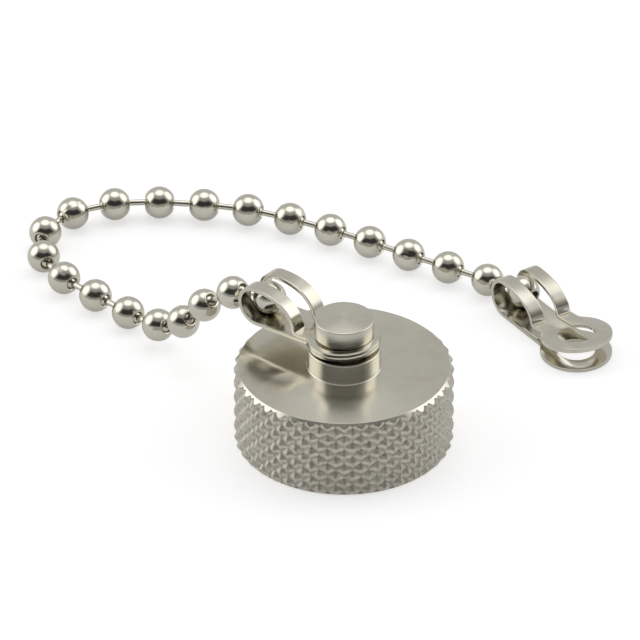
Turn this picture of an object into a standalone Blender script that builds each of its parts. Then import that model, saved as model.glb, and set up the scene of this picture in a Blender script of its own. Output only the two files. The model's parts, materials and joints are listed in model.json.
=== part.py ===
# Connector dust cap: a knurled screw cap whose top post holds a short ball chain
# between two stamped couplings. Metres, +Z up, origin on the table below the middle of it all.
import math

import bmesh
import bpy
from mathutils import Matrix, Vector

MM = 0.001

# cap body
CAP_DIAMETER = 21.0 * MM
CAP_HEIGHT = 8.0 * MM
TOP_CHAMFER = 0.45 * MM
RIM_CHAMFER = 0.30 * MM
KNURLS_AROUND = 40
KNURL_HALF_ROWS = 9
KNURL_DEPTH = 0.34 * MM
BORE_WALL = 3.0 * MM
TOP_WALL = 1.7 * MM
RELIEF_CUT = 0.6 * MM
RELIEF_HEIGHT = 1.5 * MM
MOUTH_CHAMFER = 0.5 * MM
BOSS_DIAMETER = 7.0 * MM
BOSS_HEIGHT = 2.1 * MM
EDGE_BREAK = 0.12 * MM

# sealing ring against the cap's ceiling
GASKET_WIDTH = 2.7 * MM
GASKET_THICKNESS = 0.9 * MM

# retaining stud pressed into the boss
STUD_HEAD_DIAMETER = 5.7 * MM
STUD_HEAD_HEIGHT = 1.5 * MM
STUD_NECK_DIAMETER = 3.4 * MM
STUD_SHANK_DIAMETER = 2.4 * MM
STUD_SHANK_LENGTH = 2.5 * MM

# couplings, each one folded strip with an eye at both ends
SHEET = 0.4 * MM
EYE_DIAMETER = 7.0 * MM
EYE_HOLE = 3.7 * MM
STRIP_WIDTH = 4.5 * MM
NECK_FILLET = 1.2 * MM
EYE_TO_BALL = 9.17 * MM
CREASE_REACH = 4.4 * MM
SLOT_WIDTH = 1.6 * MM
SLOT_DROP = 0.15 * MM
BAND_FULLNESS = 2.3
CUT_MARGIN = 1.0 * MM

# ball chain
BALL_COUNT = 22
BALL_DIAMETER = 3.2 * MM
BALL_SHELL = 0.25 * MM
BALL_HOLE = 1.2 * MM
BALL_PITCH = 4.47 * MM
WIRE_DIAMETER = 0.6 * MM
HEAD_DIAMETER = 1.3 * MM
HEAD_OFFSET = 0.86 * MM

# clearances between touching pieces
SEAT_GAP = 0.05 * MM
BALL_PLAY = 0.05 * MM
GASKET_CLEARANCE = 0.3 * MM

# how the pieces lie at rest
CAP_COUPLING_TURN = math.radians(139.5)
CAP_COUPLING_TILT = math.radians(5.0)
FIRST_BALL_DIP = math.radians(6.5)
END_COUPLING_TURN = math.radians(124.0)
END_EYE_GAP_AT_CREASE = 0.97 * MM
END_EYE_GAP_AT_TIP = 1.95 * MM
END_SIDE_SHIFT = 0.22 * MM

# the chain's way from the cap coupling down to the table and round to its far end: x, y and
# the lift over a ball that lies on the table, in mm
CHAIN_ROUTE = [
    (-10.3, 8.3, 9.3),
    (-13.1, 10.3, 6.7),
    (-15.2, 12.4, 3.3),
    (-17.5, 15.1, 0.9),
    (-20.4, 18.3, 0.0),
    (-23.5, 21.3, 0.0),
    (-26.8, 24.4, 0.0),
    (-29.2, 28.1, 0.0),
    (-29.7, 32.3, 0.0),
    (-27.9, 36.0, 0.0),
    (-23.9, 38.2, 0.0),
    (-18.9, 38.9, 0.0),
    (-9.8, 37.6, 0.0),
    (-1.4, 33.9, 0.0),
    (6.5, 29.2, 0.0),
    (13.9, 24.8, 0.0),
    (16.9, 22.6, 0.45),
    (18.4, 21.0, 0.45),
    (19.9, 18.9, 0.45),
]

# facets
CAP_SIDES = 2 * KNURLS_AROUND
STUD_SIDES = 40
GASKET_SIDES = 40
BALL_SIDES = 12
BALL_OUTER_STEPS = 6
BALL_INNER_STEPS = 4
WIRE_SIDES = 8
HEAD_STEPS = 4
LOOP_STEPS = 11
BAND_STEPS = 8
ARC_STEPS = 9
ROUTE_STEPS = 40
SMOOTH_ANGLE = math.radians(35.0)
MERGE_DISTANCE = 0.01 * MM
CUT_OVERLAP = 0.01 * MM

# worked out from the sizes above
BORE_DIAMETER = CAP_DIAMETER - 2 * BORE_WALL
RELIEF_DIAMETER = BORE_DIAMETER + 2 * RELIEF_CUT
CEILING = CAP_HEIGHT - TOP_WALL
GASKET_OUTER = BORE_DIAMETER - 2 * GASKET_CLEARANCE
GASKET_INNER = GASKET_OUTER - 2 * GASKET_WIDTH
BOSS_TOP = CAP_HEIGHT + BOSS_HEIGHT
SHEET_STEP = SHEET + SEAT_GAP
LOOP_RADIUS = BALL_DIAMETER / 2 + BALL_PLAY + SHEET / 2
LINK_REACH = BALL_PITCH - 2 * HEAD_OFFSET

# the tilted coupling touches neither the boss nor the head: its middle lies this high, and the
# head above the upper eye's raised side
LOWER_EYE_LEVEL = (
    BOSS_TOP + SEAT_GAP + SHEET / 2 / math.cos(CAP_COUPLING_TILT)
    + BOSS_DIAMETER / 2 * math.tan(CAP_COUPLING_TILT)
)
HEAD_UNDERSIDE = (
    LOWER_EYE_LEVEL + (SHEET_STEP + SHEET / 2) / math.cos(CAP_COUPLING_TILT)
    + STUD_HEAD_DIAMETER / 2 * math.tan(CAP_COUPLING_TILT) + SEAT_GAP
)


def clear_scene():
    for thing in list(bpy.data.objects):
        bpy.data.objects.remove(thing, do_unlink=True)
    for group in list(bpy.data.collections):
        bpy.data.collections.remove(group)


def new_collection(name):
    group = bpy.data.collections.new(name)
    bpy.context.scene.collection.children.link(group)
    return group


def make_material(name, colour, metallic, roughness):
    material = bpy.data.materials.new(name)
    material.use_nodes = True
    shader = material.node_tree.nodes["Principled BSDF"]
    shader.inputs["Base Color"].default_value = (*colour, 1.0)
    shader.inputs["Metallic"].default_value = metallic
    shader.inputs["Roughness"].default_value = roughness
    material.diffuse_color = (*colour, 1.0)
    return material


def add_object(name, mesh, group, material=None):
    thing = bpy.data.objects.new(name, mesh)
    group.objects.link(thing)
    if material and not mesh.materials:
        mesh.materials.append(material)
    return thing


def add_pivot(name, place, parent, group):
    pivot = bpy.data.objects.new(name, None)
    pivot.empty_display_size = BALL_DIAMETER / 2
    pivot.location = place
    pivot.parent = parent
    group.objects.link(pivot)
    return pivot


def arc(radius, start, end, steps, centre=(0.0, 0.0)):
    """Points on a circle from one angle to another, both included."""
    angles = [start + (end - start) * k / steps for k in range(steps + 1)]
    return [(centre[0] + radius * math.cos(a), centre[1] + radius * math.sin(a)) for a in angles]


def profile_mesh(name, points, closed):
    """A line of (radius, height) points in the XZ plane, ready for a Screw modifier."""
    mesh = bpy.data.meshes.new(name)
    count = len(points)
    edges = [(k, (k + 1) % count) for k in range(count if closed else count - 1)]
    mesh.from_pydata([(r, 0.0, z) for r, z in points], edges, [])
    return mesh


def add_screw(thing, sides):
    screw = thing.modifiers.new("turned", "SCREW")
    screw.axis = "Z"
    screw.steps = sides
    screw.render_steps = sides
    screw.use_merge_vertices = True
    screw.merge_threshold = MERGE_DISTANCE
    screw.use_smooth_shade = True


def as_plain_mesh(thing):
    """Replace an object's mesh by its evaluated one and drop its modifiers."""
    bpy.context.view_layer.update()
    graph = bpy.context.evaluated_depsgraph_get()
    mesh = bpy.data.meshes.new_from_object(thing.evaluated_get(graph))
    thing.modifiers.clear()
    thing.data = mesh
    return mesh


def cap_profile():
    """From the bottom of the stud's hole, over the boss and the knurled side, to the ceiling."""
    outer = CAP_DIAMETER / 2
    hole = STUD_SHANK_DIAMETER / 2 + SEAT_GAP
    hole_floor = BOSS_TOP - STUD_SHANK_LENGTH - SEAT_GAP
    boss = BOSS_DIAMETER / 2
    bore = BORE_DIAMETER / 2
    relief = RELIEF_DIAMETER / 2
    points = [
        (0.0, hole_floor),
        (hole, hole_floor),
        (hole, BOSS_TOP),
        (boss - EDGE_BREAK, BOSS_TOP),
        (boss, BOSS_TOP - EDGE_BREAK),
        (boss, CAP_HEIGHT),
        (outer - TOP_CHAMFER, CAP_HEIGHT),
    ]
    points += [(outer, knurl_row_height(row)) for row in range(KNURL_HALF_ROWS + 1)]
    points += [
        (outer - RIM_CHAMFER, 0.0),
        (bore + MOUTH_CHAMFER, 0.0),
        (bore, MOUTH_CHAMFER),
        (bore, CEILING - RELIEF_HEIGHT),
        (relief, CEILING - RELIEF_HEIGHT),
        (relief, CEILING),
        (0.0, CEILING),
    ]
    return points


def knurl_row_height(row):
    top = CAP_HEIGHT - TOP_CHAMFER
    return top - (top - RIM_CHAMFER) * row / KNURL_HALF_ROWS


def cut_knurl(mesh):
    """Push every other point of the knurled band in, and crease the faces from groove to groove,
    so that two sets of slanted grooves cross between the peaks."""
    outer = CAP_DIAMETER / 2
    row_step = knurl_row_height(0) - knurl_row_height(1)
    column_step = 2 * math.pi / CAP_SIDES
    form = bmesh.new()
    form.from_mesh(mesh)
    band = [v for v in form.verts if v.co.xy.length > outer - MERGE_DISTANCE]
    low = set()
    for vertex in band:
        column = round(math.atan2(vertex.co.y, vertex.co.x) / column_step)
        row = round((knurl_row_height(0) - vertex.co.z) / row_step)
        if (column + row) % 2 == 0:
            continue
        low.add(vertex)
        vertex.co.xy *= (outer - KNURL_DEPTH) / outer
        if row == 0:
            vertex.co.z += KNURL_DEPTH
    faces = {face for vertex in band for face in vertex.link_faces}
    for face in faces:
        ends = [vertex for vertex in face.verts if vertex in low]
        if len(face.verts) == 4 and len(ends) == 2 and not form.edges.get(ends):
            bmesh.utils.face_split(face, *ends)
    form.to_mesh(mesh)
    form.free()


def make_cap_body(group, root, material):
    mesh = profile_mesh("cap_body", cap_profile(), closed=False)
    body = add_object("cap_body", mesh, group, material)
    add_screw(body, CAP_SIDES)
    cut_knurl(as_plain_mesh(body))
    body.parent = root
    return body


def make_gasket(group, root, material):
    top = CEILING - SEAT_GAP
    points = [
        (GASKET_INNER / 2, top),
        (GASKET_OUTER / 2, top),
        (GASKET_OUTER / 2, top - GASKET_THICKNESS),
        (GASKET_INNER / 2, top - GASKET_THICKNESS),
    ]
    gasket = add_object("gasket", profile_mesh("gasket", points, closed=True), group, material)
    add_screw(gasket, GASKET_SIDES)
    gasket.parent = root


def make_stud(group, root, material):
    head = STUD_HEAD_DIAMETER / 2
    neck = STUD_NECK_DIAMETER / 2
    shank = STUD_SHANK_DIAMETER / 2
    head_top = HEAD_UNDERSIDE + STUD_HEAD_HEIGHT
    shoulder = BOSS_TOP + SEAT_GAP
    points = [
        (0.0, head_top),
        (head - EDGE_BREAK, head_top),
        (head, head_top - EDGE_BREAK),
        (head, HEAD_UNDERSIDE),
        (neck, HEAD_UNDERSIDE),
        (neck, shoulder),
        (shank, shoulder),
        (shank, BOSS_TOP - STUD_SHANK_LENGTH),
        (0.0, BOSS_TOP - STUD_SHANK_LENGTH),
    ]
    stud = add_object(
        "retaining_stud", profile_mesh("retaining_stud", points, closed=False), group, material
    )
    add_screw(stud, STUD_SIDES)
    stud.parent = root


def fold_path(upper_at_crease, upper_at_tip):
    """The strip's middle line seen from the side: x runs from the eyes to the loop, and z up
    from the lower eye. It goes out along the lower run, round the ball and back to the upper eye."""
    centre = (EYE_TO_BALL, LOOP_RADIUS)
    tip = -EYE_DIAMETER / 2 - CUT_MARGIN
    path = [(tip, 0.0)]
    path += arc(LOOP_RADIUS, -math.pi / 2, math.pi / 2, LOOP_STEPS, centre)
    reach = EYE_TO_BALL - CREASE_REACH
    rise = 2 * LOOP_RADIUS - upper_at_crease
    for k in range(1, BAND_STEPS + 1):
        angle = math.pi / 2 * k / BAND_STEPS
        along = math.sin(angle) ** (2 / BAND_FULLNESS)
        up = math.cos(angle) ** (2 / BAND_FULLNESS) if k < BAND_STEPS else 0.0
        path.append((EYE_TO_BALL - reach * along, upper_at_crease + rise * up))
    path.append((tip, upper_at_tip))
    return path


def strip_outline():
    """The folded strip seen from above: the eye, a filleted neck and the band over the ball."""
    eye = EYE_DIAMETER / 2
    half = STRIP_WIDTH / 2
    fillet_x = math.sqrt((eye + NECK_FILLET) ** 2 - (half + NECK_FILLET) ** 2)
    fillet_y = half + NECK_FILLET
    meet = math.atan2(fillet_y, fillet_x)
    side = arc(eye, math.pi, meet, 2 * ARC_STEPS)
    side += arc(NECK_FILLET, meet - math.pi, -math.pi / 2, ARC_STEPS // 2, (fillet_x, fillet_y))[1:]
    side.append((EYE_TO_BALL + LOOP_RADIUS + SHEET + CUT_MARGIN, half))
    return side + [(x, -y) for x, y in reversed(side[1:])]


def prism(name, outline, low, high, group):
    """An upright block with a flat outline."""
    form = bmesh.new()
    base = form.faces.new([form.verts.new((x, y, low)) for x, y in outline])
    raised = bmesh.ops.extrude_face_region(form, geom=[base])["geom"]
    tops = [part for part in raised if isinstance(part, bmesh.types.BMVert)]
    bmesh.ops.translate(form, vec=(0.0, 0.0, high - low), verts=tops)
    bmesh.ops.recalc_face_normals(form, faces=form.faces)
    return finish_cutter(name, form, group)


def rod(name, radius, matrix, length, sides, group):
    form = bmesh.new()
    bmesh.ops.create_cone(
        form, cap_ends=True, segments=sides, radius1=radius, radius2=radius, depth=length,
        matrix=matrix,
    )
    return finish_cutter(name, form, group)


def finish_cutter(name, form, group):
    mesh = bpy.data.meshes.new(name)
    form.to_mesh(mesh)
    form.free()
    cutter = add_object(name, mesh, group)
    cutter.display_type = "WIRE"
    cutter.hide_render = True
    return cutter


def add_cut(thing, cutter, operation):
    cut = thing.modifiers.new(cutter.name, "BOOLEAN")
    cut.operation = operation
    cut.solver = "EXACT"
    cut.object = cutter


def make_coupling(name, upper_at_crease, upper_at_tip, groups, material):
    """One coupling with its own origin at the lower eye: x towards the loop, z up."""
    parts, cutters = groups
    width = EYE_DIAMETER + 2 * CUT_MARGIN
    path = fold_path(upper_at_crease, upper_at_tip)
    form = bmesh.new()
    line = [form.verts.new((x, width / 2, z)) for x, z in path]
    for first, second in zip(line, line[1:]):
        form.edges.new((first, second))
    swept = bmesh.ops.extrude_edge_only(form, edges=form.edges[:])["geom"]
    far = [part for part in swept if isinstance(part, bmesh.types.BMVert)]
    bmesh.ops.translate(form, vec=(0.0, -width, 0.0), verts=far)
    mesh = bpy.data.meshes.new(name)
    form.to_mesh(mesh)
    form.free()
    strip = add_object(name, mesh, parts, material)
    wall = strip.modifiers.new("sheet", "SOLIDIFY")
    wall.thickness = SHEET
    wall.offset = 0.0
    wall.use_even_offset = True

    top = 2 * LOOP_RADIUS + SHEET + CUT_MARGIN
    end = EYE_TO_BALL + LOOP_RADIUS + SHEET + CUT_MARGIN
    half = SLOT_WIDTH / 2
    slot_floor = upper_at_crease / 2
    slot_end = LOOP_RADIUS - SLOT_DROP
    outline = prism(name + "_outline", strip_outline(), -top, top, cutters)
    hole = rod(name + "_eye_hole", EYE_HOLE / 2, Matrix(), 2 * top, 4 * ARC_STEPS, cutters)
    band_box = [(0.0, half), (0.0, -half), (EYE_TO_BALL, -half), (EYE_TO_BALL, half)]
    band_slot = prism(name + "_band_slot", band_box, slot_floor, top, cutters)
    loop_box = [(x + EYE_TO_BALL - CUT_OVERLAP, y) for x, y in band_box]
    loop_slot = prism(name + "_loop_slot", loop_box, slot_end, top, cutters)
    turn = Matrix.Translation(((EYE_TO_BALL + end) / 2, 0.0, slot_end)) @ Matrix.Rotation(
        math.pi / 2, 4, "Y"
    )
    slot_round = rod(name + "_slot_end", half, turn, end - EYE_TO_BALL, 4 * ARC_STEPS, cutters)
    add_cut(strip, outline, "INTERSECT")
    add_cut(strip, hole, "DIFFERENCE")
    add_cut(strip, band_slot, "DIFFERENCE")
    add_cut(strip, loop_slot, "DIFFERENCE")
    add_cut(strip, slot_round, "DIFFERENCE")
    as_plain_mesh(strip)
    return strip


def ball_profile():
    """A hollow ball with a round hole at both poles, its centre one head offset up from its
    origin, which is the middle of the link head it turns on."""
    outer = BALL_DIAMETER / 2
    inner = outer - BALL_SHELL
    hole = BALL_HOLE / 2
    outer_edge = math.acos(hole / outer)
    inner_edge = math.acos(hole / inner)
    centre = (0.0, HEAD_OFFSET)
    outside = arc(outer, outer_edge, -outer_edge, BALL_OUTER_STEPS, centre)
    inside = arc(inner, -inner_edge, inner_edge, BALL_INNER_STEPS, centre)
    return outside + inside


def link_profile():
    """A wire with a round head at each end, its origin at the first head's middle."""
    head = HEAD_DIAMETER / 2
    wire = WIRE_DIAMETER / 2
    neck = math.acos(wire / head)
    upper = arc(head, math.pi / 2, -neck, HEAD_STEPS, (0.0, LINK_REACH))
    lower = arc(head, neck, -math.pi / 2, HEAD_STEPS)
    upper[0] = (0.0, upper[0][1])
    lower[-1] = (0.0, lower[-1][1])
    return upper + lower


def smooth_route(points):
    """Close points on a smooth curve through the given ones."""
    ends = [2 * points[0] - points[1], *points, 2 * points[-1] - points[-2]]
    dense = []
    for a, b, c, d in zip(ends, ends[1:], ends[2:], ends[3:]):
        for k in range(ROUTE_STEPS):
            t = k / ROUTE_STEPS
            dense.append(
                0.5 * (2 * b + (c - a) * t + (2 * a - 5 * b + 4 * c - d) * t**2
                       + (3 * b - a - 3 * c + d) * t**3)
            )
    last = points[-1]
    onwards = (last - points[-2]).normalized() * BALL_PITCH * BALL_COUNT
    dense += [last, last + onwards]
    for place in dense:
        place.z = max(place.z, BALL_DIAMETER / 2)
    return dense


def next_on_route(route, index, here, reach):
    """The first point of the route at a given distance from here, and the span it is on."""
    span = next(k for k in range(index, len(route)) if (route[k + 1] - here).length >= reach)
    step = route[span + 1] - route[span]
    offset = route[span] - here
    a, b, c = step.dot(step), 2 * step.dot(offset), offset.dot(offset) - reach**2
    share = (-b + math.sqrt(b * b - 4 * a * c)) / (2 * a)
    return route[span] + step * share, span


def cap_coupling_place():
    """Turned on the stud, its loop end tilted down by the chain's weight."""
    return (
        Matrix.Translation((0.0, 0.0, LOWER_EYE_LEVEL))
        @ Matrix.Rotation(CAP_COUPLING_TURN, 4, "Z")
        @ Matrix.Rotation(CAP_COUPLING_TILT, 4, "Y")
    )


def chain_points():
    """The middle of every link head in turn. Balls lie between points 0-1, 2-3 and so on, and
    links between points 1-2, 3-4 and so on."""
    first_ball = cap_coupling_place() @ Vector((EYE_TO_BALL, 0.0, LOOP_RADIUS))
    dip = Vector((
        math.cos(FIRST_BALL_DIP) * math.cos(CAP_COUPLING_TURN),
        math.cos(FIRST_BALL_DIP) * math.sin(CAP_COUPLING_TURN),
        -math.sin(FIRST_BALL_DIP),
    ))
    points = [first_ball - dip * HEAD_OFFSET, first_ball + dip * HEAD_OFFSET]
    resting = Vector((0.0, 0.0, BALL_DIAMETER / 2))
    route = smooth_route(points + [Vector(p) * MM + resting for p in CHAIN_ROUTE])
    index = ROUTE_STEPS
    while len(points) < 2 * BALL_COUNT:
        reach = LINK_REACH if len(points) % 2 == 0 else 2 * HEAD_OFFSET
        place, index = next_on_route(route, index, points[-1], reach)
        points.append(place)
    return points


def aim(start, end):
    """A placement at start whose Z points at end and whose X stays level."""
    z = (end - start).normalized()
    x = Vector((0.0, 0.0, 1.0)).cross(z).normalized()
    y = z.cross(x)
    turn = Matrix((x, y, z)).transposed().to_4x4()
    return Matrix.Translation(start) @ turn


def make_chain(points, group, root, material):
    ball_mesh = profile_mesh("chain_ball", ball_profile(), closed=True)
    link_mesh = profile_mesh("chain_link", link_profile(), closed=False)
    first_centre = (points[0] + points[1]) / 2
    first_pivot = add_pivot("first_ball_pivot", first_centre, root, group)
    for k in range(BALL_COUNT):
        ball = add_object(f"chain_ball_{k:02d}", ball_mesh, group, material)
        add_screw(ball, BALL_SIDES)
        place = aim(points[2 * k], points[2 * k + 1])
        if k == 0:
            ball.parent = first_pivot
            ball.matrix_local = Matrix.Translation(-first_centre) @ place
        else:
            ball.parent = root
            ball.matrix_local = place
    for k in range(BALL_COUNT - 1):
        link = add_object(f"chain_link_{k:02d}", link_mesh, group, material)
        add_screw(link, WIRE_SIDES)
        link.parent = root
        link.matrix_local = aim(points[2 * k + 1], points[2 * k + 2])


def place_couplings(points, groups, root, material):
    cap_coupling = make_coupling("cap_coupling", SHEET_STEP, SHEET_STEP, groups, material)
    cap_coupling.parent = root
    cap_coupling.matrix_local = cap_coupling_place()

    end_coupling = make_coupling(
        "end_coupling", SHEET + END_EYE_GAP_AT_CREASE, SHEET + END_EYE_GAP_AT_TIP, groups, material
    )
    last_centre = (points[-2] + points[-1]) / 2
    pivot = add_pivot("end_coupling_pivot", last_centre, root, groups[0])
    pivot.rotation_euler = (0.0, 0.0, END_COUPLING_TURN)
    end_coupling.parent = pivot
    end_coupling.location = (-EYE_TO_BALL, END_SIDE_SHIFT, SHEET / 2 - last_centre.z)


def centre_on_table(root, group):
    """Move everything so that the world origin is below the middle of the whole part."""
    bpy.context.view_layer.update()
    graph = bpy.context.evaluated_depsgraph_get()
    places = [
        thing.matrix_world @ vertex.co
        for thing in group.objects
        if thing.type == "MESH"
        for vertex in thing.evaluated_get(graph).data.vertices
    ]
    lows, highs = ([pick(p[axis] for p in places) for axis in range(3)] for pick in (min, max))
    root.location = (-(lows[0] + highs[0]) / 2, -(lows[1] + highs[1]) / 2, -lows[2])
    bpy.context.view_layer.update()


def shade(group):
    for thing in group.objects:
        if thing.type == "MESH" and not thing.modifiers:
            thing.data.shade_smooth()
            thing.data.set_sharp_from_angle(angle=SMOOTH_ANGLE)


def main():
    clear_scene()
    parts = new_collection("connector_dust_cap")
    cutters = new_collection("connector_dust_cap_cutters")
    nickel = make_material("nickel_plate", (0.66, 0.61, 0.53), 1.0, 0.16)
    chain_nickel = make_material("chain_nickel", (0.68, 0.64, 0.56), 1.0, 0.10)
    rubber = make_material("seal_rubber", (0.03, 0.03, 0.03), 0.0, 0.6)

    root = add_pivot("dust_cap", (0.0, 0.0, 0.0), None, parts)
    make_cap_body(parts, root, nickel)
    make_gasket(parts, root, rubber)
    make_stud(parts, root, nickel)
    points = chain_points()
    make_chain(points, parts, root, chain_nickel)
    place_couplings(points, (parts, cutters), root, nickel)
    centre_on_table(root, parts)
    shade(parts)


main()
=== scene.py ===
# Nickel-plated connector dust cap on a bead chain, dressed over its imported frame.
import json
import math

import bmesh
import bpy
from mathutils import Matrix, Vector


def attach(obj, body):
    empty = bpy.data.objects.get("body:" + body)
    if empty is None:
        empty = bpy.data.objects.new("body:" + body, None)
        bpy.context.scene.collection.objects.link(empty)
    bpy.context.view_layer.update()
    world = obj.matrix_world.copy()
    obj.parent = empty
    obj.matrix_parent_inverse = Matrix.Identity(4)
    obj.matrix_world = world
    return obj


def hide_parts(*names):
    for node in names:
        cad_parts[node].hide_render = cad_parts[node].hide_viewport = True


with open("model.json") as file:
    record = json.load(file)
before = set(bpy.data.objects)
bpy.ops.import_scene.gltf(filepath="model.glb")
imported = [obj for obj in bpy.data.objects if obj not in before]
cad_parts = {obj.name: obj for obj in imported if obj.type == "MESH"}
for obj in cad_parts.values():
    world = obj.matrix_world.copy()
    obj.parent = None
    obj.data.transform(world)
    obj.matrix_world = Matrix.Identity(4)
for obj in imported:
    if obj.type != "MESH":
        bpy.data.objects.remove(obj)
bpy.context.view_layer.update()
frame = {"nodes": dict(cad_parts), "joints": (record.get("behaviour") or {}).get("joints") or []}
mm = 0.001
turn = 2 * math.pi
# distances in mm below which points are joined or slivers dropped
cleaning = {
    "weld": 0.0004, "sliver": 0.0002, "latheWeld": 0.0003, "knurlWeld": 0.001, "blankWeld": 0.001,
}
# the bend in degrees from which an edge is shown sharp
sharpBend = {"cap": 24, "turned": 32, "chain": 50, "coupling": 30}
print("frame loaded:", len(frame["nodes"]), "nodes")


# helpers for node trees and meshes

def feed(tree, socket, value):
    if isinstance(value, bpy.types.NodeSocket):
        tree.links.new(value, socket)
    else:
        socket.default_value = value


def addNode(tree, kind, inputs=None, **settings):
    node = tree.nodes.new(kind)
    for name, value in settings.items():
        setattr(node, name, value)
    for socket, value in (inputs or {}).items():
        feed(tree, node.inputs[socket], value)
    return node


def calc(tree, operation, *values):
    node = tree.nodes.new("ShaderNodeMath")
    node.operation = operation
    for socket, value in zip(node.inputs, values):
        feed(tree, socket, value)
    return node.outputs[0]


def calcVector(tree, operation, first, second):
    node = addNode(tree, "ShaderNodeVectorMath", {0: first, 1: second}, operation=operation)
    return node.outputs[0]


def splitVector(tree, vector):
    return addNode(tree, "ShaderNodeSeparateXYZ", {"Vector": vector}).outputs


def polar(tree, radius, angle, height):
    return addNode(tree, "ShaderNodeCombineXYZ", {
        "X": calc(tree, "MULTIPLY", radius, calc(tree, "COSINE", angle)),
        "Y": calc(tree, "MULTIPLY", radius, calc(tree, "SINE", angle)),
        "Z": height,
    }).outputs[0]


def moveTo(tree, shape, position):
    node = addNode(tree, "GeometryNodeSetPosition", {"Geometry": shape, "Position": position})
    return node.outputs[0]


def newTree(name, kind, inputs, outputs):
    tree = bpy.data.node_groups.new(name, kind)
    for label, socketType, default in inputs:
        socket = tree.interface.new_socket(label, in_out="INPUT", socket_type=socketType)
        if default is not None:
            socket.default_value = default
    for label, socketType in outputs:
        tree.interface.new_socket(label, in_out="OUTPUT", socket_type=socketType)
    source = tree.nodes.new("NodeGroupInput").outputs
    sink = tree.nodes.new("NodeGroupOutput").inputs
    return tree, source, sink


def endTree(tree, source, sink, shape):
    # every geometry tree ends the same way
    plain = addNode(tree, "GeometryNodeRealizeInstances", {"Geometry": shape})
    painted = addNode(tree, "GeometryNodeSetMaterial", {
        "Geometry": plain.outputs[0], "Material": source["Material"],
    })
    feed(tree, sink["Geometry"], painted.outputs[0])


def addPiece(name, mesh):
    piece = bpy.data.objects.new(name, mesh)
    bpy.context.scene.collection.objects.link(piece)
    return piece


def addProfile(name, points):
    mesh = bpy.data.meshes.new(name)
    edges = [(k, k + 1) for k in range(len(points) - 1)]
    mesh.from_pydata([(r * mm, 0.0, z * mm) for r, z in points], edges, [])
    return addPiece(name, mesh)


def makePlain(piece):
    bpy.context.view_layer.update()
    graph = bpy.context.evaluated_depsgraph_get()
    mesh = bpy.data.meshes.new_from_object(piece.evaluated_get(graph))
    piece.modifiers.clear()
    piece.data = mesh
    return piece


def runTree(piece, tree, values):
    modifier = piece.modifiers.new(tree.name, "NODES")
    modifier.node_group = tree
    sockets = {s.name: s.identifier for s in tree.interface.items_tree if s.in_out == "INPUT"}
    for label, value in values.items():
        modifier[sockets[label]] = value
    return makePlain(piece)


def cleanMesh(piece, bend):
    form = bmesh.new()
    form.from_mesh(piece.data)
    bmesh.ops.remove_doubles(form, verts=form.verts, dist=cleaning["weld"] * mm)
    bmesh.ops.dissolve_degenerate(form, edges=form.edges, dist=cleaning["sliver"] * mm)
    bmesh.ops.recalc_face_normals(form, faces=form.faces)
    form.to_mesh(piece.data)
    form.free()
    piece.data.shade_smooth()
    piece.data.set_sharp_from_angle(angle=math.radians(bend))
    return piece


def dress(piece, body, slot, *nodes):
    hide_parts(*nodes)
    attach(piece, body)


def circlePoints(radius, start, end, steps, centre=(0.0, 0.0)):
    angles = [math.radians(start + (end - start) * k / steps) for k in range(steps + 1)]
    return [(centre[0] + radius * math.cos(a), centre[1] + radius * math.sin(a)) for a in angles]


def roundedProfile(corners):
    # corners are (radius, height, edge radius); each corner becomes a small arc
    points, steps = [], 4
    for k, (r, z, size) in enumerate(corners):
        here = Vector((r, z))
        if size == 0 or k in (0, len(corners) - 1):
            points.append((r, z))
            continue
        before = (Vector(corners[k - 1][:2]) - here).normalized()
        after = (Vector(corners[k + 1][:2]) - here).normalized()
        half = before.angle(after) / 2
        reach = size / math.tan(half)
        middle = here + (before + after).normalized() * size / math.sin(half)
        first, last = here + before * reach - middle, here + after * reach - middle
        swing = first.angle_signed(last)
        for step in range(steps + 1):
            spot = first.copy()
            spot.rotate(Matrix.Rotation(-swing * step / steps, 2))
            points.append(tuple(middle + spot))
    return points


# geometry node trees

# how wide the thread's crest is, as a share of its ridge, and how soft its edges are
threadForm = {"crest": 0.85, "soft": 0.15}


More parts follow.
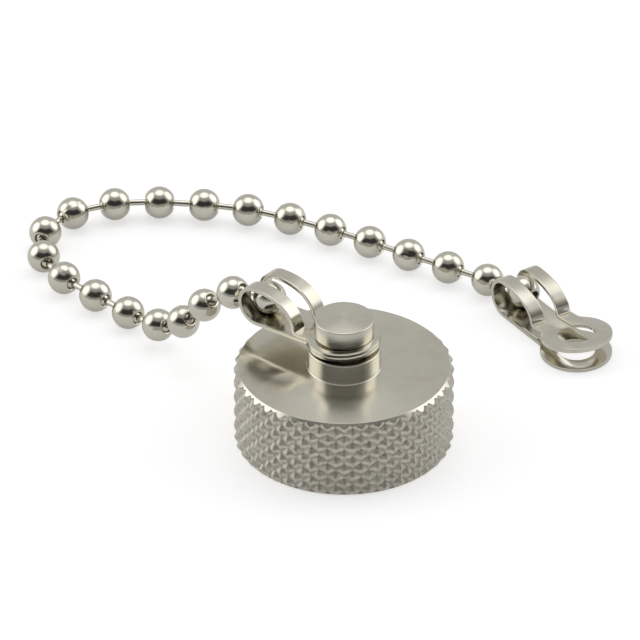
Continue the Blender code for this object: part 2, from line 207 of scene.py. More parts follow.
def buildLatheTree():
    # turns a profile about Z; the thread and the seam are rules on the radius
    tree, source, sink = newTree("lathe", "GeometryNodeTree", [
        ("Geometry", "NodeSocketGeometry", None),
        ("Columns", "NodeSocketInt", 48),
        ("Thread Pitch", "NodeSocketFloat", 1.0),
        ("Thread Depth", "NodeSocketFloat", 0.0),
        ("Seam Depth", "NodeSocketFloat", 0.0),
        ("Seam Width", "NodeSocketFloat", 0.05),
        ("Material", "NodeSocketMaterial", None),
    ], [("Geometry", "NodeSocketGeometry")])
    profile, columns = source["Geometry"], source["Columns"]
    domain = addNode(tree, "GeometryNodeAttributeDomainSize", {"Geometry": profile})
    count = domain.outputs["Point Count"]
    grid = addNode(tree, "GeometryNodeMeshGrid", {
        "Vertices X": calc(tree, "ADD", columns, 1), "Vertices Y": count,
    })
    index = addNode(tree, "GeometryNodeInputIndex").outputs[0]
    row = calc(tree, "FLOORED_MODULO", index, count)
    column = calc(tree, "FLOOR", calc(tree, "DIVIDE", calc(tree, "ADD", index, 0.5), count))
    spot = addNode(tree, "GeometryNodeInputPosition").outputs[0]
    thread = addNode(
        tree, "GeometryNodeInputNamedAttribute", {"Name": "thread"}, data_type="FLOAT",
    ).outputs["Attribute"]
    place, strength = (addNode(tree, "GeometryNodeSampleIndex", {
        "Geometry": profile, "Value": value, "Index": row,
    }, data_type=kind).outputs[0] for value, kind in ((spot, "FLOAT_VECTOR"), (thread, "FLOAT")))
    apart = splitVector(tree, place)
    share = calc(tree, "DIVIDE", column, columns)
    angle = calc(tree, "MULTIPLY", share, turn)
    # the thread is a ridge that climbs one pitch in each turn
    climb = calc(tree, "SUBTRACT", calc(tree, "DIVIDE", apart["Z"], source["Thread Pitch"]), share)
    ridge = calc(tree, "MULTIPLY", calc(tree, "PINGPONG", climb, 0.5), 2.0)
    ridge = calc(tree, "SMOOTH_MIN", ridge, threadForm["crest"], threadForm["soft"])
    ridge = calc(tree, "MULTIPLY", ridge, source["Thread Depth"])
    ridge = calc(tree, "MULTIPLY", ridge, strength)
    # the seam is a narrow groove along one meridian, at half a turn
    away = calc(tree, "ABSOLUTE", calc(tree, "SUBTRACT", angle, math.pi))
    groove = calc(tree, "SUBTRACT", 1.0, calc(tree, "DIVIDE", away, source["Seam Width"]))
    groove = calc(tree, "MAXIMUM", groove, 0.0)
    groove = calc(tree, "MULTIPLY", groove, source["Seam Depth"])
    radius = calc(tree, "SUBTRACT", calc(tree, "ADD", apart["X"], ridge), groove)
    radius = calc(tree, "MAXIMUM", radius, 0.0)
    placed = moveTo(tree, grid.outputs["Mesh"], polar(tree, radius, angle, apart["Z"]))
    welded = addNode(tree, "GeometryNodeMergeByDistance", {
        "Geometry": placed, "Distance": cleaning["latheWeld"] * mm,
    })
    endTree(tree, source, sink, welded.outputs[0])
    return tree


def buildKnurlTree():
    # one small pyramid with rounded ridges, set round a cylinder in staggered rows
    tree, source, sink = newTree("diamond knurl", "GeometryNodeTree", [
        ("Geometry", "NodeSocketGeometry", None),
        ("Radius", "NodeSocketFloat", 0.01),
        ("Depth", "NodeSocketFloat", 0.0003),
        ("Around", "NodeSocketInt", 40),
        ("Rows", "NodeSocketInt", 12),
        ("Row Step", "NodeSocketFloat", 0.0008),
        ("First Row", "NodeSocketFloat", 0.0),
        ("Ridge Round", "NodeSocketFloat", 0.1),
        ("Peak", "NodeSocketFloat", 0.85),
        ("Cell Points", "NodeSocketInt", 7),
        ("Material", "NodeSocketMaterial", None),
    ], [("Geometry", "NodeSocketGeometry")])
    finePoints = source["Cell Points"]
    grid = addNode(tree, "GeometryNodeMeshGrid", {
        "Size X": 2.0, "Size Y": 2.0, "Vertices X": finePoints, "Vertices Y": finePoints,
    })
    apart = splitVector(tree, addNode(tree, "GeometryNodeInputPosition").outputs[0])
    flankA = calc(tree, "SUBTRACT", 1.0, calc(tree, "ABSOLUTE", apart["X"]))
    flankB = calc(tree, "SUBTRACT", 1.0, calc(tree, "ABSOLUTE", apart["Y"]))
    height = calc(tree, "SMOOTH_MIN", flankA, flankB, source["Ridge Round"])
    height = calc(tree, "SMOOTH_MIN", height, source["Peak"], source["Ridge Round"])
    height = calc(tree, "DIVIDE", height, source["Peak"])
    dip = calc(tree, "MULTIPLY", calc(tree, "SUBTRACT", 1.0, height), source["Depth"])
    radius = calc(tree, "SUBTRACT", source["Radius"], dip)
    halfStep = calc(tree, "DIVIDE", math.pi, source["Around"])
    across = calc(tree, "MULTIPLY", calc(tree, "SUBTRACT", apart["X"], apart["Y"]), 0.5)
    angle = calc(tree, "MULTIPLY", across, halfStep)
    along = calc(tree, "MULTIPLY", calc(tree, "ADD", apart["X"], apart["Y"]), 0.5)
    rise = calc(tree, "MULTIPLY", along, source["Row Step"])
    cell = moveTo(tree, grid.outputs["Mesh"], polar(tree, radius, angle, rise))
    points = addNode(tree, "GeometryNodeMeshLine", {
        "Count": calc(tree, "MULTIPLY", source["Around"], source["Rows"]),
    })
    index = addNode(tree, "GeometryNodeInputIndex").outputs[0]
    row = calc(tree, "FLOOR", calc(tree, "DIVIDE", calc(tree, "ADD", index, 0.5), source["Around"]))
    column = calc(tree, "FLOORED_MODULO", index, source["Around"])
    stagger = calc(tree, "MULTIPLY", calc(tree, "FLOORED_MODULO", row, 2.0), 0.5)
    column = calc(tree, "ADD", column, stagger)
    level = calc(tree, "MULTIPLY", row, source["Row Step"])
    level = calc(tree, "ADD", source["First Row"], level)
    at = addNode(tree, "ShaderNodeCombineXYZ", {"Z": level})
    placed = moveTo(tree, points.outputs[0], at.outputs[0])
    share = calc(tree, "DIVIDE", column, source["Around"])
    spin = addNode(tree, "ShaderNodeCombineXYZ", {"Z": calc(tree, "MULTIPLY", share, turn)})
    copies = addNode(tree, "GeometryNodeInstanceOnPoints", {
        "Points": placed, "Instance": cell, "Rotation": spin.outputs[0],
    })
    joined = addNode(tree, "GeometryNodeRealizeInstances", {"Geometry": copies.outputs[0]})
    welded = addNode(tree, "GeometryNodeMergeByDistance", {
        "Geometry": joined.outputs[0], "Distance": cleaning["knurlWeld"] * mm,
    })
    endTree(tree, source, sink, welded.outputs[0])
    return tree


def buildFoldTree():
    # bends a flat blank along a path: X is the way along it, Z the way off its middle line
    tree, source, sink = newTree("fold along path", "GeometryNodeTree", [
        ("Geometry", "NodeSocketGeometry", None),
        ("Path", "NodeSocketObject", None),
        ("Material", "NodeSocketMaterial", None),
    ], [("Geometry", "NodeSocketGeometry")])
    path = addNode(tree, "GeometryNodeObjectInfo", {"Object": source["Path"]}).outputs["Geometry"]
    apart = splitVector(tree, addNode(tree, "GeometryNodeInputPosition").outputs[0])
    sample = addNode(tree, "GeometryNodeSampleCurve", mode="LENGTH")
    feed(tree, sample.inputs["Curves"], path)
    feed(tree, sample.inputs["Length"], apart["X"])
    side = calcVector(tree, "CROSS_PRODUCT", sample.outputs["Tangent"], (0.0, 1.0, 0.0))
    off = addNode(tree, "ShaderNodeVectorMath", {0: side, "Scale": apart["Z"]}, operation="SCALE")
    width = addNode(tree, "ShaderNodeCombineXYZ", {"Y": apart["Y"]})
    where = calcVector(tree, "ADD", sample.outputs["Position"], off.outputs[0])
    where = calcVector(tree, "ADD", where, width.outputs[0])
    endTree(tree, source, sink, moveTo(tree, source["Geometry"], where))
    return tree


latheTree = buildLatheTree()
knurlTree = buildKnurlTree()
foldTree = buildFoldTree()
print("node trees built")


# shader groups and finishes

# the fine noise is so many times smaller; the stain sets in between clear and stained
plateNoise = {
    "detail": 4.0, "roughness": 0.6, "fineScale": 22.0, "fineDetail": 2.0,
    "clear": 0.42, "stained": 0.68,
}
turningNoise = {"detail": 3.0, "roughness": 0.7}


def buildPlateTree():
    # thin smudges and a fine grain on plated metal
    tree, source, sink = newTree("plate wear", "ShaderNodeTree", [
        ("Vector", "NodeSocketVector", None),
        ("Colour", "NodeSocketColor", (0.6, 0.6, 0.6, 1.0)),
        ("Stain Colour", "NodeSocketColor", (0.4, 0.35, 0.28, 1.0)),
        ("Stain", "NodeSocketFloat", 0.1),
        ("Roughness", "NodeSocketFloat", 0.15),
        ("Smudge", "NodeSocketFloat", 0.08),
        ("Grain", "NodeSocketFloat", 0.2),
        ("Scale", "NodeSocketFloat", 400.0),
    ], [
        ("Color", "NodeSocketColor"),
        ("Roughness", "NodeSocketFloat"),
        ("Height", "NodeSocketFloat"),
    ])
    n = plateNoise
    broad = addNode(tree, "ShaderNodeTexNoise", {
        "Vector": source["Vector"], "Scale": source["Scale"],
        "Detail": n["detail"], "Roughness": n["roughness"],
    }).outputs[0]
    fineScale = calc(tree, "MULTIPLY", source["Scale"], n["fineScale"])
    fine = addNode(tree, "ShaderNodeTexNoise", {
        "Vector": source["Vector"], "Scale": fineScale, "Detail": n["fineDetail"],
    }).outputs[0]
    patch = addNode(tree, "ShaderNodeMapRange", {
        "Value": broad, "From Min": n["clear"], "From Max": n["stained"],
    }).outputs[0]
    share = calc(tree, "MULTIPLY", patch, source["Stain"])
    mixed = addNode(tree, "ShaderNodeMix", {
        "Factor": share, 6: source["Colour"], 7: source["Stain Colour"],
    }, data_type="RGBA")
    haze = calc(tree, "MULTIPLY", patch, source["Smudge"])
    speck = calc(tree, "MULTIPLY", calc(tree, "SUBTRACT", fine, 0.5), source["Smudge"])
    rough = calc(tree, "ADD", calc(tree, "ADD", source["Roughness"], haze), speck)
    height = calc(tree, "MULTIPLY", calc(tree, "ADD", fine, broad), source["Grain"])
    feed(tree, sink["Color"], mixed.outputs[2])
    feed(tree, sink["Roughness"], rough)
    feed(tree, sink["Height"], height)
    return tree


def buildTurningTree():
    # fine rings left by the lathe, round the Z axis of the given vector
    tree, source, sink = newTree("turning marks", "ShaderNodeTree", [
        ("Vector", "NodeSocketVector", None),
        ("Rings", "NodeSocketFloat", 6000.0),
        ("Depth", "NodeSocketFloat", 0.5),
    ], [("Height", "NodeSocketFloat")])
    apart = splitVector(tree, source["Vector"])
    square = calc(tree, "MULTIPLY", apart["X"], apart["X"])
    square = calc(tree, "ADD", square, calc(tree, "MULTIPLY", apart["Y"], apart["Y"]))
    way = calc(tree, "ADD", calc(tree, "SQRT", square), apart["Z"])
    rings = addNode(tree, "ShaderNodeTexNoise", {
        "W": way, "Scale": source["Rings"], "Detail": turningNoise["detail"],
        "Roughness": turningNoise["roughness"],
    }, noise_dimensions="1D").outputs[0]
    feed(tree, sink["Height"], calc(tree, "MULTIPLY", rings, source["Depth"]))
    return tree


plateTree = buildPlateTree()
turningTree = buildTurningTree()


def jointPlace(name):
    return Vector(next(j["pos_m"] for j in frame["joints"] if j["name"] == name))


capAxis = jointPlace("cap_coupling_swivel")
capAxis.z = 0.0


def startMaterial(name):
    material = bpy.data.materials.new(name)
    material.use_nodes = True
    tree = material.node_tree
    shader = tree.nodes["Principled BSDF"]
    where = addNode(tree, "ShaderNodeTexCoord").outputs["Object"]
    return material, tree, shader, where


def makeNickel(name, finish):
    material, tree, shader, where = startMaterial(name)
    centred = addNode(tree, "ShaderNodeMapping", {"Vector": where, "Location": -capAxis}).outputs[0]
    plate = addNode(tree, "ShaderNodeGroup", node_tree=plateTree)
    feed(tree, plate.inputs["Vector"], centred)
    feed(tree, plate.inputs["Colour"], (*finish["colour"], 1.0))
    feed(tree, plate.inputs["Stain Colour"], (*finish["stainColour"], 1.0))
    for label in ("Stain", "Roughness", "Smudge", "Grain", "Scale"):
        feed(tree, plate.inputs[label], finish[label.lower()])
    height = plate.outputs["Height"]
    if "rings" in finish:
        marks = addNode(tree, "ShaderNodeGroup", {
            "Vector": centred, "Rings": finish["rings"], "Depth": finish["ringDepth"],
        }, node_tree=turningTree)
        height = calc(tree, "ADD", height, marks.outputs["Height"])
    bump = addNode(tree, "ShaderNodeBump", {
        "Height": height, "Strength": finish["bump"], "Distance": finish["bumpDepth"] * mm,
    })
    feed(tree, shader.inputs["Base Color"], plate.outputs["Color"])
    feed(tree, shader.inputs["Roughness"], plate.outputs["Roughness"])
    feed(tree, shader.inputs["Normal"], bump.outputs[0])
    shader.inputs["Metallic"].default_value = 1.0
    if "anisotropic" in finish:
        # the quarter turn makes turned marks blur a reflection across the rings, not along them
        shader.inputs["Anisotropic"].default_value = finish["anisotropic"]
        shader.inputs["Anisotropic Rotation"].default_value = finish["blurTurn"]
        tangent = addNode(tree, "ShaderNodeTangent", direction_type="RADIAL", axis="Z")
        feed(tree, shader.inputs["Tangent"], tangent.outputs[0])
    return material


nickelFinish = {
    "colour": (0.66, 0.635, 0.55), "stainColour": (0.48, 0.44, 0.34), "stain": 0.25,
    "roughness": 0.13, "smudge": 0.06, "grain": 0.3, "scale": 420.0,
    "bump": 0.25, "bumpDepth": 0.01, "blurTurn": 0.25,
}
bodyNickel = makeNickel("bodyNickel", dict(
    nickelFinish, rings=9000.0, ringDepth=1.0, roughness=0.15, smudge=0.03,
    anisotropic=0.9, bump=0.12,
))
knurlNickel = makeNickel("knurlNickel", dict(
    nickelFinish, stainColour=(0.2, 0.17, 0.12), stain=0.45, roughness=0.13,
    grain=1.0, scale=2800.0, bump=0.6, bumpDepth=0.026,
))
stampedNickel = makeNickel("stampedNickel", dict(
    nickelFinish, roughness=0.16, stain=0.35, bump=0.35,
))
studNickel = makeNickel("studNickel", dict(
    nickelFinish, rings=5000.0, ringDepth=0.5, roughness=0.18, anisotropic=0.8,
))
chainNickel = makeNickel("chainNickel", dict(
    nickelFinish, colour=(0.68, 0.655, 0.57), roughness=0.13, smudge=0.05, stain=0.15,
))


def makeRubber(name, finish):
    material, tree, shader, where = startMaterial(name)
    cloud = addNode(tree, "ShaderNodeTexNoise", {
        "Vector": where, "Scale": finish["scale"], "Detail": finish["detail"],
    }).outputs[0]
    mixed = addNode(tree, "ShaderNodeMix", {
        "Factor": cloud, 6: (*finish["colour"], 1.0), 7: (*finish["dustColour"], 1.0),
    }, data_type="RGBA")
    bump = addNode(tree, "ShaderNodeBump", {
        "Height": cloud, "Strength": finish["bump"], "Distance": finish["bumpDepth"] * mm,
    })
    feed(tree, shader.inputs["Base Color"], mixed.outputs[2])
    feed(tree, shader.inputs["Normal"], bump.outputs[0])
    shader.inputs["Roughness"].default_value = finish["roughness"]
    return material


sealRubber = makeRubber("sealRubber", {
    "colour": (0.018, 0.018, 0.019), "dustColour": (0.05, 0.048, 0.045), "roughness": 0.62,
    "scale": 2500.0, "detail": 3.0, "bump": 0.3, "bumpDepth": 0.02,
})
print("finishes made")


# cap: lathe body with thread, crossed by the knurl; lengths of every piece are in mm

capShape = {
    "radius": 10.5, "height": 8.0, "topChamfer": 0.45, "rimChamfer": 0.3, "spare": 0.1,
    "bossRadius": 3.5, "bossHeight": 2.1, "bossEdge": 0.12, "bossFoot": 0.15,
    "studHole": 1.25, "studHoleDepth": 2.55, "boreRadius": 7.5, "boreDepth": 6.3,
    "mouthChamfer": 0.5, "reliefRadius": 8.1, "reliefHeight": 1.5,
    "edge": 0.05, "mouthEdge": 0.04, "reliefEdge": 0.03, "ceilingEdge": 0.15, "columns": 240,
    "threadPitch": 1.058, "threadDepth": 0.42, "threadGap": 0.15,
    "stepsPerPitch": 12, "fadeInSteps": 8, "fadeOutSteps": 10,
    "knurls": 40, "knurlDepth": 0.34, "halfRows": 9, "rowsBelow": 1, "spareRows": 3,
    "ridgeRound": 0.1, "peak": 0.86, "cellPoints": 7, "hubReach": 50.0,
}


def makeCap():
    s = capShape
    outer, top = s["radius"], s["height"]
    bossTop = top + s["bossHeight"]
    spare, relief = s["spare"], s["boreDepth"] - s["reliefHeight"]
    outside = roundedProfile([
        (0.0, bossTop - s["studHoleDepth"], 0),
        (s["studHole"], bossTop - s["studHoleDepth"], s["edge"]),
        (s["studHole"], bossTop, s["edge"]),
        (s["bossRadius"], bossTop, s["bossEdge"]),
        (s["bossRadius"], top, s["bossFoot"]),
        (outer - s["topChamfer"], top, s["edge"]),
        (outer + spare, top - s["topChamfer"] - spare, 0),
        (outer + spare, s["rimChamfer"] + spare, 0),
        (outer - s["rimChamfer"], 0.0, s["mouthEdge"]),
        (s["boreRadius"] + s["mouthChamfer"], 0.0, s["mouthEdge"]),
        (s["boreRadius"], s["mouthChamfer"], 0),
    ])
    low, threadTop = s["mouthChamfer"], relief - s["threadGap"]
    rows = int((threadTop - low) / s["threadPitch"] * s["stepsPerPitch"])
    wall = [(s["boreRadius"], low + (threadTop - low) * k / rows) for k in range(1, rows + 1)]
    inside = roundedProfile([
        (s["boreRadius"], threadTop, 0),
        (s["boreRadius"], relief, s["reliefEdge"]),
        (s["reliefRadius"], relief, s["edge"]),
        (s["reliefRadius"], s["boreDepth"], s["ceilingEdge"]),
        (0.0, s["boreDepth"], 0),
    ])
    cap = addProfile("capShell", outside + wall + inside[1:])
    # the thread grows out of the wall and sinks back into it
    strength = cap.data.attributes.new("thread", "FLOAT", "POINT").data
    for k in range(rows):
        share = min(1.0, (k + 1) / s["fadeInSteps"], (rows - k) / s["fadeOutSteps"])
        strength[len(outside) + k].value = share
    runTree(cap, latheTree, {
        "Columns": s["columns"], "Thread Pitch": s["threadPitch"] * mm,
        "Thread Depth": s["threadDepth"] * mm, "Material": bodyNickel,
    })
    cleanMesh(cap, sharpBend["turned"])
    band = makeBand()
    cross = cap.modifiers.new("knurl", "BOOLEAN")
    cross.operation = "INTERSECT"
    cross.solver = "EXACT"
    cross.material_mode = "TRANSFER"
    cross.object = band
    makePlain(cap)
    bpy.data.objects.remove(band)
    cap.data.transform(Matrix.Translation(capAxis))
    cleanMesh(cap, sharpBend["cap"])
    dress(cap, "cap", "nickel_plate", "cap_body")


def makeBand():
    # a tube with the knurl outside, shut at both ends, so that it is a solid
    s = capShape
    knurlTop = s["height"] - s["topChamfer"]
    rowStep = (knurlTop - s["rimChamfer"]) / s["halfRows"]
    firstRow = knurlTop - (s["halfRows"] + s["rowsBelow"]) * rowStep
    band = addPiece("knurlForm", bpy.data.meshes.new("knurlForm"))
    runTree(band, knurlTree, {
        "Radius": s["radius"] * mm, "Depth": s["knurlDepth"] * mm, "Around": s["knurls"],
        "Rows": s["halfRows"] + s["spareRows"], "Row Step": rowStep * mm,
        "First Row": firstRow * mm, "Ridge Round": s["ridgeRound"], "Peak": s["peak"],
        "Cell Points": s["cellPoints"], "Material": knurlNickel,
    })
    form = bmesh.new()
    form.from_mesh(band.data)
    middle = sum(v.co.z for v in form.verts) / len(form.verts)
    for upper in (True, False):
        rim = [e for e in form.edges
               if e.is_boundary and (e.verts[0].co.z > middle) == upper]
        reach = (s["hubReach"] if upper else -s["hubReach"]) * mm
        hub = form.verts.new((0.0, 0.0, middle + reach))
        for edge in rim:
            form.faces.new((edge.verts[0], edge.verts[1], hub))
    bmesh.ops.recalc_face_normals(form, faces=form.faces)
    form.to_mesh(band.data)
    form.free()
    return band


makeCap()
print("cap made")


# turned small pieces

studShape = {
    "headRadius": 2.85, "headHeight": 1.75, "neckRadius": 1.7,
    "shankRadius": 1.2, "shankLength": 2.5, "gap": 0.05, "stack": 1.45, "columns": 96,
    "edge": 0.1, "headFoot": 0.06, "neckFoot": 0.05, "shankEdge": 0.04,
}
sealShape = {"outer": 7.2, "inner": 4.5, "top": 6.25, "thick": 0.9, "edge": 0.15, "columns": 96}


def turnOnAxis(name, points, columns, material):
    profile = addProfile(name, points)
    piece = runTree(profile, latheTree, {"Columns": columns, "Material": material})
    piece.data.transform(Matrix.Translation(capAxis))
    return cleanMesh(piece, sharpBend["turned"])


def makeStud():
    s = studShape
    bossTop = capShape["height"] + capShape["bossHeight"]
    under = bossTop + s["stack"]
    points = roundedProfile([
        (0.0, under + s["headHeight"], 0),
        (s["headRadius"], under + s["headHeight"], s["edge"]),
        (s["headRadius"], under, s["headFoot"]),
        (s["neckRadius"], under, s["headFoot"]),
        (s["neckRadius"], bossTop + s["gap"], s["neckFoot"]),
        (s["shankRadius"], bossTop + s["gap"], s["shankEdge"]),
        (s["shankRadius"], bossTop - s["shankLength"], s["edge"]),
        (0.0, bossTop - s["shankLength"], 0),
    ])
    stud = turnOnAxis("studHead", points, s["columns"], studNickel)
    dress(stud, "cap", "nickel_plate", "retaining_stud")


def makeSeal():
    s = sealShape
    low = s["top"] - s["thick"]
    middle = (s["outer"] + s["inner"]) / 2
    points = roundedProfile([
        (middle, s["top"], 0),
        (s["outer"], s["top"], s["edge"]),
        (s["outer"], low, s["edge"]),
        (s["inner"], low, s["edge"]),
        (s["inner"], s["top"], s["edge"]),
        (middle, s["top"], 0),
    ])
    seal = turnOnAxis("sealRing", points, s["columns"], sealRubber)
    dress(seal, "cap", "seal_rubber", "gasket")


makeStud()
makeSeal()
print("stud and seal made")


# chain: hollow beads on headed wires

# the seam's width and its turn from ball to ball are angles in radians
beadShape = {
    "radius": 1.6, "wall": 0.25, "hole": 0.6, "headOffset": 0.86,
    "columns": 56, "arcSteps": 22, "lipSteps": 6,
    "seamDepth": 0.035, "seamWidth": 0.05, "seamTurn": 2.4,
}
linkShape = {"wire": 0.3, "head": 0.65, "columns": 24, "headSteps": 9}
beadCount = sum(name.startswith("chain_ball_") for name in frame["nodes"])


def chainPoints():
    # the middle of every link head in turn, from the joints of the frame
    points = []
    for k in range(beadCount - 1):
        points.append(jointPlace(f"ball_{k:02d}_pitch") if k else None)
        points.append(jointPlace(f"link_{k:02d}_yaw"))
    points.append(jointPlace("last_ball_roll"))
    points.append(2 * jointPlace("end_coupling_pitch") - points[-1])
    points[0] = 2 * jointPlace("first_ball_pitch") - points[1]
    return points


def aim(start, end):
    # stands at start with its Z axis towards end
    z = (end - start).normalized()
    x = Vector((0.0, 0.0, 1.0)).cross(z).normalized()
    facing = Matrix((x, z.cross(x), z)).transposed().to_4x4()
    return Matrix.Translation(start) @ facing


def makeBead(name, spin, place):
    s = beadShape
    lip = s["wall"] / 2
    middle = s["radius"] - lip
    edge = math.degrees(math.acos((s["hole"] + lip) / middle))
    centre = (0.0, s["headOffset"])
    outside = circlePoints(s["radius"], edge, -edge, s["arcSteps"], centre)
    inside = circlePoints(s["radius"] - s["wall"], -edge, edge, s["arcSteps"] // 2, centre)
    lipX, lipZ = middle * math.cos(math.radians(edge)), middle * math.sin(math.radians(edge))
    lower, upper = (lipX, s["headOffset"] - lipZ), (lipX, s["headOffset"] + lipZ)
    rollDown = circlePoints(lip, -edge, -edge - 180, s["lipSteps"], lower)[1:-1]
    rollUp = circlePoints(lip, edge + 180, edge, s["lipSteps"], upper)[1:]
    bead = runTree(addProfile(name, outside + rollDown + inside + rollUp), latheTree, {
        "Columns": s["columns"], "Seam Depth": s["seamDepth"] * mm,
        "Seam Width": s["seamWidth"], "Material": chainNickel,
    })
    bead.data.transform(place @ Matrix.Rotation(spin, 4, "Z"))
    return cleanMesh(bead, sharpBend["chain"])


def makeWire(name, place, reach):
    s = linkShape
    neck = math.degrees(math.acos(s["wire"] / s["head"]))
    points = circlePoints(s["head"], 90, -neck, s["headSteps"], (0.0, reach))
    points += circlePoints(s["head"], neck, -90, s["headSteps"])
    wire = runTree(addProfile(name, points), latheTree, {
        "Columns": s["columns"], "Material": chainNickel,
    })
    wire.data.transform(place)
    return cleanMesh(wire, sharpBend["chain"])


def makeChain():
    points = chainPoints()
    for k in range(beadCount):
        place = aim(points[2 * k], points[2 * k + 1])
        bead = makeBead(f"bead{k:02d}", k * beadShape["seamTurn"], place)
        dress(bead, f"ball_{k:02d}", "chain_nickel", f"chain_ball_{k:02d}")
        if k == beadCount - 1:
            break
        start, end = points[2 * k + 1], points[2 * k + 2]
        wire = makeWire(f"wire{k:02d}", aim(start, end), (end - start).length / mm)
        dress(wire, f"link_{k:02d}", "chain_nickel", f"chain_link_{k:02d}")


makeChain()
print("chain made:", beadCount, "beads")


# couplings: a stamped blank folded round the ball

couplingShape = {
    "sheet": 0.4, "eye": 3.5, "hole": 1.85, "halfWidth": 2.25, "fillet": 1.2, "reach": 9.17,
    "loop": 1.85, "crease": 4.4, "creaseRound": 0.3, "creaseRoom": 1.1,
    "slot": 0.8, "slotDrop": 0.15, "fullness": 2.3, "edge": 0.05, "edgeSteps": 1,
    "loopSteps": 30, "bandSteps": 24, "creaseSteps": 6,
    "eyeSteps": 28, "filletSteps": 8, "holeSteps": 44, "keyholeSteps": 40, "slotSteps": 16,
    "closedGap": 0.01, "gapAtCrease": 0.97, "gapAtTip": 1.95,
    "capTilt": 5.0, "endTurn": 124.0, "endShift": 0.22,
}


def foldPath(gapAtCrease, gapAtTip):
    # side view of the strip's middle line: lower eye, loop, band, crease, upper eye
    s = couplingShape
    loop = circlePoints(s["loop"], -90, 90, s["loopSteps"], (s["reach"], s["loop"]))
    path = [(-s["eye"], 0.0)] + loop
    reach, height = s["reach"] - s["crease"], 2 * s["loop"] - gapAtCrease
    rounding = s["creaseRound"]
    for k in range(1, s["bandSteps"]):
        angle = math.pi / 2 * k / s["bandSteps"]
        x = s["reach"] - reach * math.sin(angle) ** (2 / s["fullness"])
        z = gapAtCrease + height * math.cos(angle) ** (2 / s["fullness"])
        if z > gapAtCrease + rounding * s["creaseRoom"]:
            path.append((x, z))
    centre = (s["crease"] - rounding, gapAtCrease + rounding)
    path += circlePoints(rounding, 0, -90, s["creaseSteps"], centre)
    slope = (gapAtTip - gapAtCrease) / (s["crease"] + s["eye"])
    path.append((-s["eye"], gapAtCrease + slope * (s["crease"] - rounding + s["eye"])))
    return path


def pathLengths(path):
    lengths = [0.0]
    for first, second in zip(path, path[1:]):
        lengths.append(lengths[-1] + math.dist(first, second))
    return lengths


def addBlank(name, slotEnd, total):
    # the flat blank before it is folded, with rounded sheet edges
    s = couplingShape
    low, high = s["eye"], total - s["eye"]
    near, far = s["eye"] + s["fillet"], s["halfWidth"] + s["fillet"]
    filletX = math.sqrt(near ** 2 - far ** 2)
    meet = math.degrees(math.atan2(far, filletX))
    side = circlePoints(s["eye"], 180, meet, s["eyeSteps"], (low, 0.0))
    side += circlePoints(s["fillet"], meet - 180, -90, s["filletSteps"], (low + filletX, far))[1:]
    side += circlePoints(s["fillet"], -90, -meet, s["filletSteps"], (high - filletX, far))
    side += circlePoints(s["eye"], 180 - meet, 0, s["eyeSteps"], (high, 0.0))[1:]
    outline = side + [(x, -y) for x, y in reversed(side[1:-1])]
    mouth = math.degrees(math.asin(s["slot"] / s["hole"]))
    keyhole = circlePoints(s["hole"], -180 + mouth, 180 - mouth, s["keyholeSteps"], (high, 0.0))
    keyhole += circlePoints(s["slot"], 90, 270, s["slotSteps"], (slotEnd, 0.0))
    hole = circlePoints(s["hole"], 0, 360, s["holeSteps"], (low, 0.0))[:-1]
    curve = bpy.data.curves.new(name, "CURVE")
    curve.dimensions = "2D"
    curve.fill_mode = "BOTH"
    curve.extrude = (s["sheet"] / 2 - s["edge"]) * mm
    curve.bevel_depth = s["edge"] * mm
    curve.bevel_resolution = s["edgeSteps"]
    curve.offset = -s["edge"] * mm
    for loop in (outline, keyhole, hole):
        spline = curve.splines.new("POLY")
        spline.points.add(len(loop) - 1)
        for point, (x, y) in zip(spline.points, loop):
            point.co = (x * mm, y * mm, 0.0, 1.0)
        spline.use_cyclic_u = True
    flat = addPiece(name + "Flat", curve)
    bpy.context.view_layer.update()
    graph = bpy.context.evaluated_depsgraph_get()
    mesh = bpy.data.meshes.new_from_object(flat.evaluated_get(graph))
    bpy.data.objects.remove(flat)
    return addPiece(name, mesh)


def cutAcross(blank, places):
    # an edge across the blank wherever its path bends
    form = bmesh.new()
    form.from_mesh(blank.data)
    bmesh.ops.remove_doubles(form, verts=form.verts, dist=cleaning["blankWeld"] * mm)
    for x in places:
        bmesh.ops.bisect_plane(
            form, geom=form.verts[:] + form.edges[:] + form.faces[:],
            dist=cleaning["sliver"] * mm, plane_co=(x * mm, 0, 0), plane_no=(1, 0, 0),
        )
    form.to_mesh(blank.data)
    form.free()


def makeCoupling(name, gapAtCrease, gapAtTip, place, body):
    s = couplingShape
    path = foldPath(gapAtCrease + s["sheet"], gapAtTip + s["sheet"])
    lengths = pathLengths(path)
    loopLength = lengths[1 + s["loopSteps"]] - lengths[1]
    slotAngle = math.degrees(math.asin(s["slotDrop"] / s["loop"]))
    slotEnd = lengths[1] + (90 - slotAngle) / 180 * loopLength
    coupling = addBlank(name, slotEnd, lengths[-1])
    cutAcross(coupling, lengths[1:-1])
    line = bpy.data.curves.new("foldLine", "CURVE")
    line.dimensions = "3D"
    spline = line.splines.new("POLY")
    spline.points.add(len(path) - 1)
    for point, (x, z) in zip(spline.points, path):
        point.co = (x * mm, 0.0, z * mm, 1.0)
    guide = addPiece("foldLine", line)
    runTree(coupling, foldTree, {"Path": guide, "Material": stampedNickel})
    bpy.data.objects.remove(guide)
    coupling.data.transform(place)
    cleanMesh(coupling, sharpBend["coupling"])
    dress(coupling, body, "nickel_plate", body)


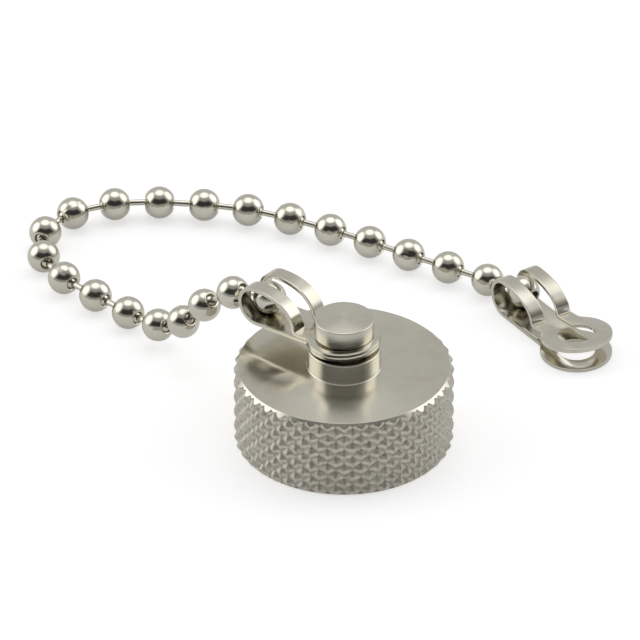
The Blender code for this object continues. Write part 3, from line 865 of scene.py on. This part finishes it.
def placeCouplings():
    s = couplingShape
    swivel = jointPlace("cap_coupling_swivel")
    out = jointPlace("first_ball_pitch") - swivel
    place = Matrix.Translation(swivel) @ Matrix.Rotation(math.atan2(out.y, out.x), 4, "Z")
    place = place @ Matrix.Rotation(math.radians(s["capTilt"]), 4, "Y")
    makeCoupling("capCoupling", s["closedGap"], s["closedGap"], place, "cap_coupling")
    lastBall = jointPlace("end_coupling_pitch")
    lastBall.z = s["sheet"] / 2 * mm
    place = Matrix.Translation(lastBall) @ Matrix.Rotation(math.radians(s["endTurn"]), 4, "Z")
    place = place @ Matrix.Translation((-s["reach"] * mm, s["endShift"] * mm, 0.0))
    makeCoupling("endCoupling", s["gapAtCrease"], s["gapAtTip"], place, "end_coupling")


placeCouplings()
print("couplings made")


# floor, light and camera

# the floor's size and the near clip are in metres, the camera's shift and lens in mm
studio = {
    "floorSize": 4.0, "floorColour": (0.52, 0.52, 0.52), "floorRoughness": 0.9,
    "floorGlow": 0.62, "mirrorGlow": 0.3,
    "front": 0.38, "back": 0.6, "frontEdge": -0.3, "backEdge": 0.5,
    "bandLevel": 0.54, "bandFull": 0.2, "bandFaded": 0.36,
    "bandStart": -0.2, "bandEnd": -0.5, "bandDepth": -0.34,
    "cameraShift": (-2.279, -669.6, 450.9), "cameraTilt": 56.82,
    "lens": 475.5, "sensor": 36.0, "nearClip": 0.01,
}
# where a light stands, its full and its faded half width in degrees, and its strength
softboxes = {
    "left": ((-0.87, 0.16, 0.47), 16, 35, 1.2),
    "right": ((0.79, 0.30, 0.53), 13, 32, 1.2),
    "overhead": ((0.0, 0.29, 0.956), 8, 32, 1.2),
}


def makeFloor():
    form = bmesh.new()
    half = studio["floorSize"] / 2
    corners = ((-half, -half, 0.0), (half, -half, 0.0), (half, half, 0.0), (-half, half, 0.0))
    form.faces.new([form.verts.new(corner) for corner in corners])
    mesh = bpy.data.meshes.new("studioFloor")
    form.to_mesh(mesh)
    form.free()
    floor = addPiece("studioFloor", mesh)
    material = bpy.data.materials.new("studioFloor")
    material.use_nodes = True
    tree = material.node_tree
    shader = tree.nodes["Principled BSDF"]
    shader.inputs["Base Color"].default_value = (*studio["floorColour"], 1.0)
    shader.inputs["Roughness"].default_value = studio["floorRoughness"]
    shader.inputs["Emission Color"].default_value = (1.0, 1.0, 1.0, 1.0)
    # the camera sees a white floor and metal a dimmer one; neither glow lights the rest
    rays = addNode(tree, "ShaderNodeLightPath").outputs
    seen = calc(tree, "MAXIMUM", rays["Is Camera Ray"], rays["Is Transmission Ray"])
    shown = calc(tree, "MULTIPLY", seen, studio["floorGlow"])
    mirrored = calc(tree, "MULTIPLY", rays["Is Glossy Ray"], studio["mirrorGlow"])
    feed(tree, shader.inputs["Emission Strength"], calc(tree, "ADD", shown, mirrored))
    mesh.materials.append(material)


def fade(tree, value, low, high, start, end):
    return addNode(tree, "ShaderNodeMapRange", {
        "Value": value, "From Min": low, "From Max": high, "To Min": start, "To Max": end,
    }, interpolation_type="SMOOTHSTEP").outputs[0]


def makeWorld():
    world = bpy.data.worlds.new("studioWorld")
    bpy.context.scene.world = world
    world.use_nodes = True
    tree = world.node_tree
    light = tree.nodes["Background"]
    direction = addNode(tree, "ShaderNodeTexCoord").outputs["Generated"]
    apart = splitVector(tree, direction)
    s = studio
    glow = fade(tree, apart["Y"], s["frontEdge"], s["backEdge"], s["front"], s["back"])
    for place, full, faded, strength in softboxes.values():
        near = addNode(tree, "ShaderNodeVectorMath", {
            0: direction, 1: Vector(place).normalized(),
        }, operation="DOT_PRODUCT").outputs["Value"]
        outer, inner = (math.cos(math.radians(width)) for width in (faded, full))
        glow = calc(tree, "ADD", glow, fade(tree, near, outer, inner, 0.0, strength))
    # a dark band low in front, as the unlit side of the room gives
    level = calc(tree, "ABSOLUTE", calc(tree, "SUBTRACT", apart["Z"], s["bandLevel"]))
    band = fade(tree, level, s["bandFull"], s["bandFaded"], s["bandDepth"], 0.0)
    ahead = fade(tree, apart["Y"], s["bandEnd"], s["bandStart"], 1.0, 0.0)
    glow = calc(tree, "ADD", glow, calc(tree, "MULTIPLY", band, ahead))
    seen = addNode(tree, "ShaderNodeLightPath").outputs["Is Camera Ray"]
    shown = addNode(tree, "ShaderNodeMix", {"Factor": seen, 2: glow, 3: 1.0}, data_type="FLOAT")
    light.inputs["Color"].default_value = (1.0, 1.0, 1.0, 1.0)
    feed(tree, light.inputs["Strength"], shown.outputs[0])


def makeCamera():
    camera = bpy.data.cameras.new("photoCamera")
    camera.lens = studio["lens"]
    camera.sensor_width = studio["sensor"]
    camera.clip_start = studio["nearClip"]
    thing = bpy.data.objects.new("photoCamera", camera)
    bpy.context.scene.collection.objects.link(thing)
    thing.location = capAxis + Vector(studio["cameraShift"]) * mm
    thing.rotation_euler = (math.radians(studio["cameraTilt"]), 0.0, 0.0)
    bpy.context.scene.camera = thing


makeFloor()
makeWorld()
makeCamera()
bpy.context.scene.view_settings.view_transform = "Standard"
print("studio ready")
